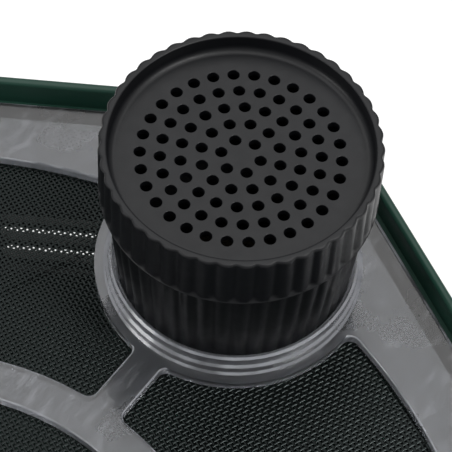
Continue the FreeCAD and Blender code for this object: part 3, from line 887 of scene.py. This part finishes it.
    def build(self, finishes: Finishes) -> None:
        """Builds the cap's skirt and its plate, and hands them over.

        Args:
            finishes: The materials.
        """
        centre = node_centre("jar_cap")
        lathe = Lathe(centre, self.grips.count * self.sectors_per_grip, self.grips, self.helix)
        skirt = new_piece("cap_skirt", lathe.shell("cap_skirt", self.skirt_rings(), True), finishes.cap)
        values = {
            "Plate radius": (self.plate_radius + 0.8) * MM,
            "Thickness": (self.plate_top - self.plate_under) * MM,
            "Hole radius": self.hole_radius * MM,
            "Ring pitch": self.hole_pitch * MM,
            "First hole": math.radians(self.hole_phase),
        }
        seed = bpy.data.meshes.new("plate_seed")
        plate = self.plate_tree(finishes.cap).grow("cap_plate", seed, values, finishes.cap)
        plate.data.transform(Matrix.Translation(centre + Vector((0, 0, self.plate_under * MM))))
        bevel = plate.modifiers.new("hole_edges", "BEVEL")
        bevel.width = 0.12 * MM
        bevel.segments = 2
        bevel.limit_method = "ANGLE"
        bevel.angle_limit = math.radians(60)
        smooth(plate.data)
        hand_over(skirt, Body.CAP, Slot.BLACK, "jar_cap")
        hand_over(plate, Body.CAP, Slot.BLACK, "jar_cap")


# ---------------------------------------------------------------- the bait jar
@dataclass
class BaitJar:
    """Gripped jar with a plain cup below its shoulder and a threaded neck.

    Sizes are in millimetres, and heights are from the cup's underside.
    """

    cup_foot: float = 21.2
    cup_top: float = 22.8
    shoulder: float = 40.4
    grip_foot: float = 26.4
    grip_top: float = 28.7
    body_top: float = 69.7
    neck: float = 26.3
    neck_top: float = 77.7
    bore: float = 24.5
    wall: float = 1.8
    sectors_per_grip: int = 12
    sponge_rise: float = 20.0
    grips: Grips = Grips()
    helix: Helix = Helix(start=71.9, pitch=4.0, rounds=1.15, reach=1.0)

    def outside(self) -> list[Ring]:
        """The levels from the underside's pole to the foot of the neck."""
        foot, low, high = self.cup_foot, self.shoulder, self.body_top
        return [
            Ring(0.0, 0.0),
            Ring(foot - 1.5, 0.0),
            Ring(foot - 0.85, 0.2),
            Ring(foot - 0.25, 0.75),
            Ring(foot, 1.5),
            Ring((foot + self.cup_top) / 2, low / 2),
            Ring(self.cup_top, low),
            Ring(self.grip_foot - 0.5, low, 0.8),
            Ring(self.grip_foot - 0.12, low + 0.12, 0.95),
            Ring(self.grip_foot, low + 0.5, 1.0),
            Ring((self.grip_foot + self.grip_top) / 2, (low + high) / 2, 1.0),
            Ring(self.grip_top - 0.08, high - 1.0, 1.0),
            Ring(self.grip_top - 0.06, high - 0.5, 0.9),
            Ring(self.grip_top - 0.3, high - 0.12, 0.7),
            Ring(self.grip_top - 0.8, high, 0.3),
            Ring(self.neck + 0.25, high),
            Ring(self.neck, high + 0.25),
        ]

    def threaded_neck(self) -> list[Ring]:
        """The neck's levels with the thread."""
        step = 0.32
        rows = int((self.neck_top - self.body_top - 1.2) / step)
        return [Ring(self.neck, self.body_top + 0.5 + row * step, 0.0, True) for row in range(rows)]

    def inside(self) -> list[Ring]:
        """The levels over the neck's lip and down to the pole of the floor."""
        lip, low = self.neck_top, self.shoulder
        bottom = self.cup_foot - self.wall
        return [
            Ring(self.neck, lip - 0.5),
            Ring(self.neck - 0.15, lip - 0.15),
            Ring(self.neck - 0.5, lip),
            Ring(self.bore + 0.3, lip),
            Ring(self.bore + 0.07, lip - 0.1),
            Ring(self.bore, lip - 0.35),
            Ring(self.bore, low + 3.5),
            Ring(self.cup_top - self.wall, low),
            Ring(bottom, self.wall + 0.7),
            Ring(bottom - 0.2, self.wall + 0.2),
            Ring(bottom - 0.7, self.wall),
            Ring(0.0, self.wall),
        ]

    def build(self, finishes: Finishes) -> None:
        """Builds the jar, and hands it over.

        Args:
            finishes: The materials.
        """
        sectors = self.grips.count * self.sectors_per_grip
        lathe = Lathe(node_centre("bait_jar"), sectors, self.grips, self.helix)
        rings = self.outside() + self.threaded_neck() + self.inside()
        jar = new_piece("jar", lathe.shell("jar", rings, False), finishes.cap)
        hand_over(jar, Body.JAR, Slot.BLACK, "bait_jar")
        self.build_sponge(finishes)
        dress("jar_seal", finishes.rubber)
        dress("cap_seal", finishes.rubber)

    def build_sponge(self, finishes: Finishes) -> None:
        """Builds the sponge as a soft crowned plug with open pores.

        Args:
            finishes: The materials.
        """
        low, high = (Vector(corner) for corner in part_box("bait_sponge"))
        centre = node_centre("bait_sponge")
        radius, top = (high.x - low.x) / 2 / MM, (high.z - low.z) / MM
        rounding = 1.6
        levels = [Ring(0.0, 0.0), Ring(radius * 0.5, 0.0)]
        for step in range(5):
            turn = math.pi / 2 * step / 4
            levels.append(Ring(radius - rounding * (1 - math.sin(turn)), rounding * (1 - math.cos(turn))))
        levels += [Ring(radius - 0.25, top * share) for share in (0.3, 0.5, 0.7)]
        for step in range(5):
            turn = math.pi / 2 * step / 4
            inset, drop = 1 - math.cos(turn), 1 - math.sin(turn)
            levels.append(Ring(radius - rounding * inset, top - rounding * drop))
        levels += [Ring(radius * share, top) for share in (0.8, 0.6, 0.4, 0.2)] + [Ring(0.0, top)]
        mesh = Lathe(centre, 96, Grips(1, 0.0)).shell("sponge", levels, False)
        for vertex in mesh.vertices:
            inward = (centre - vertex.co) * Vector((1, 1, 0))
            dent = 0.5 + 0.5 * noise.noise(vertex.co * 420)
            if vertex.co.z > centre.z + 2 * MM:
                vertex.co += inward.normalized() * dent * 0.35 * MM
                vertex.co.z -= dent * 0.3 * MM
        sponge = new_piece("sponge", mesh, finishes.foam)
        hand_over(sponge, Body.JAR, Slot.FOAM, "bait_sponge")


# ---------------------------------------------------------------- the lid and its screen
@dataclass
class WovenScreen:
    """Plain-woven screen under the lid, its threads passing over and under each other.

    It is one taut sheet, made in strips that meet thread to thread. Sizes are in millimetres.
    """

    corner_reach: float = 119.0
    corner_radius: float = 30.0
    jar_hole: float = 26.9
    edge_gap: float = 0.2
    pitch: float = 1.0
    weave_turn: float = -25.0
    thread_width: float = 0.6
    thread_height: float = 0.34
    thread_rise: float = 0.17
    thread_sides: int = 4
    soft_angle: float = 80.0
    strips: int = 7

    def holds(self, place: Vector, jar: Vector) -> bool:
        """Whether a place is within the screen's rounded hexagon and clear of the jar.

        Args:
            place: The place, in millimetres.
            jar: The jar's axis, in millimetres.

        Returns:
            True inside the cloth.
        """
        if math.hypot(place.x - jar.x, place.y - jar.y) < self.jar_hole:
            return False
        side = math.floor(math.degrees(math.atan2(place.y, place.x)) / 60) * 60 + 30
        turn = math.radians(side)
        out = place.x * math.cos(turn) + place.y * math.sin(turn) - self.corner_reach * math.cos(math.pi / 6)
        along = abs(place.y * math.cos(turn) - place.x * math.sin(turn)) - self.corner_reach / 2
        return math.hypot(max(out, 0.0), max(along, 0.0)) <= self.corner_radius - self.edge_gap

    def way(self, extra: float) -> tuple[Vector, Vector]:
        """The directions along and across the threads that go one way.

        Args:
            extra: Turn from the warp, in degrees.

        Returns:
            The two unit vectors.
        """
        turn = math.radians(self.weave_turn + extra)
        return Vector((math.cos(turn), math.sin(turn), 0)), Vector((-math.sin(turn), math.cos(turn), 0))

    def run(self, line: int, steps: Iterable[int], extra: float, jar: Vector) -> list[tuple[Vector, Vector]]:
        """The straight runs of one thread, each from crossing to crossing.

        Args:
            line: The thread's number across its way.
            steps: The crossings to look at.
            extra: Turn of its way from the warp, in degrees.
            jar: The jar's axis, in millimetres.

        Returns:
            Each run's two ends, in millimetres.
        """
        along, across = self.way(extra)
        found, first, last = [], None, None
        for step in steps:
            place = (across * line + along * step) * self.pitch
            if self.holds(place, jar):
                first, last = (place if first is None else first), place
                continue
            if first is not None and first != last:
                found.append((first, last))
            first = last = None
        if first is not None and first != last:
            found.append((first, last))
        return found

    def tree(self, material: bpy.types.Material) -> Geometry:
        """The threads' tree: it bends each run over and under its crossings and gives it a section.

        Args:
            material: The threads' material.

        Returns:
            The tree.
        """
        tree = Geometry("woven_threads")
        pitch = tree.input("Pitch")
        turn = tree.input("Weave turn")
        lift = tree.input("Lift")
        width = tree.input("Thread width")
        height = tree.input("Thread height")
        level = tree.input("Level")
        curve = tree.node("GeometryNodeMeshToCurve")
        tree.link(tree.entry.outputs["Geometry"], curve.inputs["Mesh"])
        points = tree.node("GeometryNodeResampleCurve", mode="LENGTH")
        tree.link(curve.outputs["Curve"], points.inputs["Curve"])
        tree.link(pitch, points.inputs["Length"])
        back = tree.math("MULTIPLY", turn, -1.0)
        place = self.turned(tree, tree.node("GeometryNodeInputPosition").outputs["Position"], back)
        heading = self.turned(tree, tree.node("GeometryNodeInputTangent").outputs["Tangent"], back)
        waves = []
        for axis in ("X", "Y"):
            phase = tree.math("MULTIPLY", tree.math("DIVIDE", place.outputs[axis], pitch), math.pi)
            waves.append(tree.math("COSINE", phase))
        is_warp = tree.math("ABSOLUTE", heading.outputs["X"])
        over = tree.math("SUBTRACT", tree.math("MULTIPLY", is_warp, 2.0), 1.0)
        wave = tree.math("MULTIPLY", tree.math("MULTIPLY", waves[0], waves[1]), over)
        offset = tree.node("ShaderNodeCombineXYZ")
        tree.link(tree.math("ADD", tree.math("MULTIPLY", wave, lift), level), offset.inputs["Z"])
        bend = tree.node("GeometryNodeSetPosition")
        tree.link(points.outputs["Curve"], bend.inputs["Geometry"])
        tree.link(offset.outputs["Vector"], bend.inputs["Offset"])
        upright = tree.node("GeometryNodeSetCurveNormal", mode="Z_UP")
        tree.link(bend.outputs["Geometry"], upright.inputs["Curve"])
        section = tree.node("GeometryNodeCurvePrimitiveCircle")
        section.inputs["Resolution"].default_value = self.thread_sides
        section.inputs["Radius"].default_value = 0.5
        shape = tree.node("GeometryNodeTransform")
        tree.link(section.outputs["Curve"], shape.inputs["Geometry"])
        scale = tree.node("ShaderNodeCombineXYZ")
        tree.link(width, scale.inputs["X"])
        tree.link(height, scale.inputs["Y"])
        tree.link(scale.outputs["Vector"], shape.inputs["Scale"])
        sweep = tree.node("GeometryNodeCurveToMesh")
        sweep.inputs["Fill Caps"].default_value = True
        tree.link(upright.outputs["Curve"], sweep.inputs["Curve"])
        tree.link(shape.outputs["Geometry"], sweep.inputs["Profile Curve"])
        tree.close(sweep.outputs["Mesh"], material)
        return tree

    @staticmethod
    def turned(tree: Geometry, vector: bpy.types.NodeSocket, angle: bpy.types.NodeSocket) -> bpy.types.Node:
        """Turns a vector about Z and takes it apart.

        Args:
            tree: The tree to add to.
            vector: The vector.
            angle: The turn, in radians.

        Returns:
            The node with its three parts.
        """
        rotate = tree.node("ShaderNodeVectorRotate", rotation_type="Z_AXIS")
        tree.link(vector, rotate.inputs["Vector"])
        tree.link(angle, rotate.inputs["Angle"])
        apart = tree.node("ShaderNodeSeparateXYZ")
        tree.link(rotate.outputs["Vector"], apart.inputs["Vector"])
        return apart

    def build(self, finishes: Finishes) -> None:
        """Builds the sheet's strips, and hands them over.

        Args:
            finishes: The materials.
        """
        top = Vector(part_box("mesh_screen")[1]).z
        jar = node_centre("bait_jar") / MM
        values = {
            "Pitch": self.pitch * MM,
            "Weave turn": math.radians(self.weave_turn),
            "Lift": self.thread_rise * MM,
            "Thread width": self.thread_width * MM,
            "Thread height": self.thread_height * MM,
            "Level": top - (self.thread_rise + self.thread_height / 2) * MM,
        }
        tree = self.tree(finishes.thread)
        reach = int((self.corner_reach + self.corner_radius) / self.pitch) + 1
        everywhere = range(-reach, reach + 1)
        share = math.ceil((2 * reach + 1) / self.strips)
        for strip in range(self.strips):
            first = -reach + strip * share
            last = min(first + share, reach + 1)
            warp = [run for line in range(first, last) for run in self.run(line, everywhere, 0.0, jar)]
            across = range(first, last + 1)
            weft = [run for line in everywhere for run in self.run(line, across, 90.0, jar)]
            points = [end * MM for run in warp + weft for end in run]
            edges = [(2 * i, 2 * i + 1) for i in range(len(warp + weft))]
            seed = bpy.data.meshes.new("thread_runs")
            seed.from_pydata(points, edges, [])
            piece = tree.grow(f"screen_{strip + 1}", seed, values, finishes.thread)
            smooth(piece.data, self.soft_angle)
            hand_over(piece, Body.LID, Slot.MESH, "mesh_screen")


@dataclass
class Lid:
    """See-through lid with its screen and hinge pins."""

    screen: WovenScreen

    def build(self, finishes: Finishes) -> None:
        """Dresses the lid's frame and builds its screen.

        Args:
            finishes: The materials.
        """
        dress("lid_frame", finishes.clear)
        dress("hinge_pin_left", finishes.steel)
        dress("hinge_pin_right", finishes.steel)
        self.screen.build(finishes)


# ---------------------------------------------------------------- the tub and its inserts
@dataclass
class Tub:
    """Green tub with its feet, entrances and escape grilles."""

    inserts: int = 3

    def build(self, finishes: Finishes) -> None:
        """Dresses the tub and everything in its walls and floor.

        Args:
            finishes: The materials.
        """
        dress("tub", finishes.green)
        dress("feet", finishes.rubber)
        for number in range(1, self.inserts + 1):
            for kind in ("entrance_funnel", "funnel_nut", "selector_disc", "disc_pin", "escape_grille"):
                dress(f"{kind}_{number}", finishes.black)


# ---------------------------------------------------------------- the studio
@dataclass
class Studio:
    """Pale floor, soft lamps and the camera.

    Attributes:
        eye: The camera's place, in metres.
        aim: The point that it looks at.
        roll: Its turn about its own axis, in degrees.
        lens: Its focal length, in millimetres.
        sensor: Its film's width, in millimetres.
        floor_size: The floor's side, in metres.
        air: The strength of the light from all around.
        lamps: Each lamp's name, place in metres, side in metres and power in watts.
    """

    eye: Vector = Vector((-0.10568, -0.13605, 0.51368))
    aim: Vector = Vector((0.10056, -0.01105, 0.13690))
    roll: float = 3.795
    lens: float = 173.57
    sensor: float = 36.0
    floor_size: float = 6.0
    air: float = 0.3
    lamps: tuple[tuple[str, Vector, float, float], ...] = (
        ("overhead_softbox", Vector((0.35, 0.3, 1.9)), 2.6, 24.0),
        ("side_softbox", Vector((-1.2, 0.9, 0.9)), 0.6, 5.0),
        ("key_lamp", Vector((0.187, -0.887, 1.35)), 0.3, 6.0),
    )

    def floor(self, finishes: Finishes) -> None:
        """Lays the floor.

        Args:
            finishes: The materials.
        """
        half = self.floor_size / 2
        mesh = bpy.data.meshes.new("studio_floor")
        corners = [(-half, -half, 0), (half, -half, 0), (half, half, 0), (-half, half, 0)]
        mesh.from_pydata(corners, [], [(0, 1, 2, 3)])
        new_piece("studio_floor", mesh, finishes.paper)

    def lamp(self, name: str, place: Vector, size: float, power: float) -> None:
        """Adds a square soft lamp that faces the trap.

        Args:
            name: The lamp's name.
            place: Where it hangs, in metres.
            size: Its side, in metres.
            power: Its power, in watts.
        """
        light = bpy.data.lights.new(name, "AREA")
        light.size = size
        light.energy = power
        lamp = bpy.data.objects.new(name, light)
        bpy.context.scene.collection.objects.link(lamp)
        lamp.location = place
        lamp.rotation_euler = (self.aim - place).to_track_quat("-Z", "Y").to_euler()

    def build(self, finishes: Finishes) -> None:
        """Builds the studio.

        Args:
            finishes: The materials.
        """
        scene = bpy.context.scene
        scene.view_settings.view_transform = "Standard"
        world = bpy.data.worlds.new("studio_air")
        world.use_nodes = True
        air = world.node_tree.nodes["Background"]
        air.inputs["Color"].default_value = (1.0, 1.0, 1.0, 1.0)
        air.inputs["Strength"].default_value = self.air
        scene.world = world
        self.floor(finishes)
        for name, place, size, power in self.lamps:
            self.lamp(name, place, size, power)
        camera = bpy.data.objects.new("camera", bpy.data.cameras.new("camera"))
        scene.collection.objects.link(camera)
        camera.data.lens = self.lens
        camera.data.sensor_width = self.sensor
        camera.data.clip_start = 0.01
        camera.location = self.eye
        look = (self.aim - self.eye).to_track_quat("-Z", "Y").to_matrix()
        camera.rotation_euler = (look @ Matrix.Rotation(math.radians(self.roll), 3, "Z")).to_euler()
        scene.camera = camera


def main() -> None:
    """Builds the trap and the studio, in order."""
    logging.basicConfig(level=logging.INFO, format="%(name)s: %(message)s")
    finishes = Finishes()
    Studio().build(finishes)
    Tub().build(finishes)
    Lid(WovenScreen()).build(finishes)
    BaitJar().build(finishes)
    ScrewCap().build(finishes)


if __name__ == "__main__":
    main()
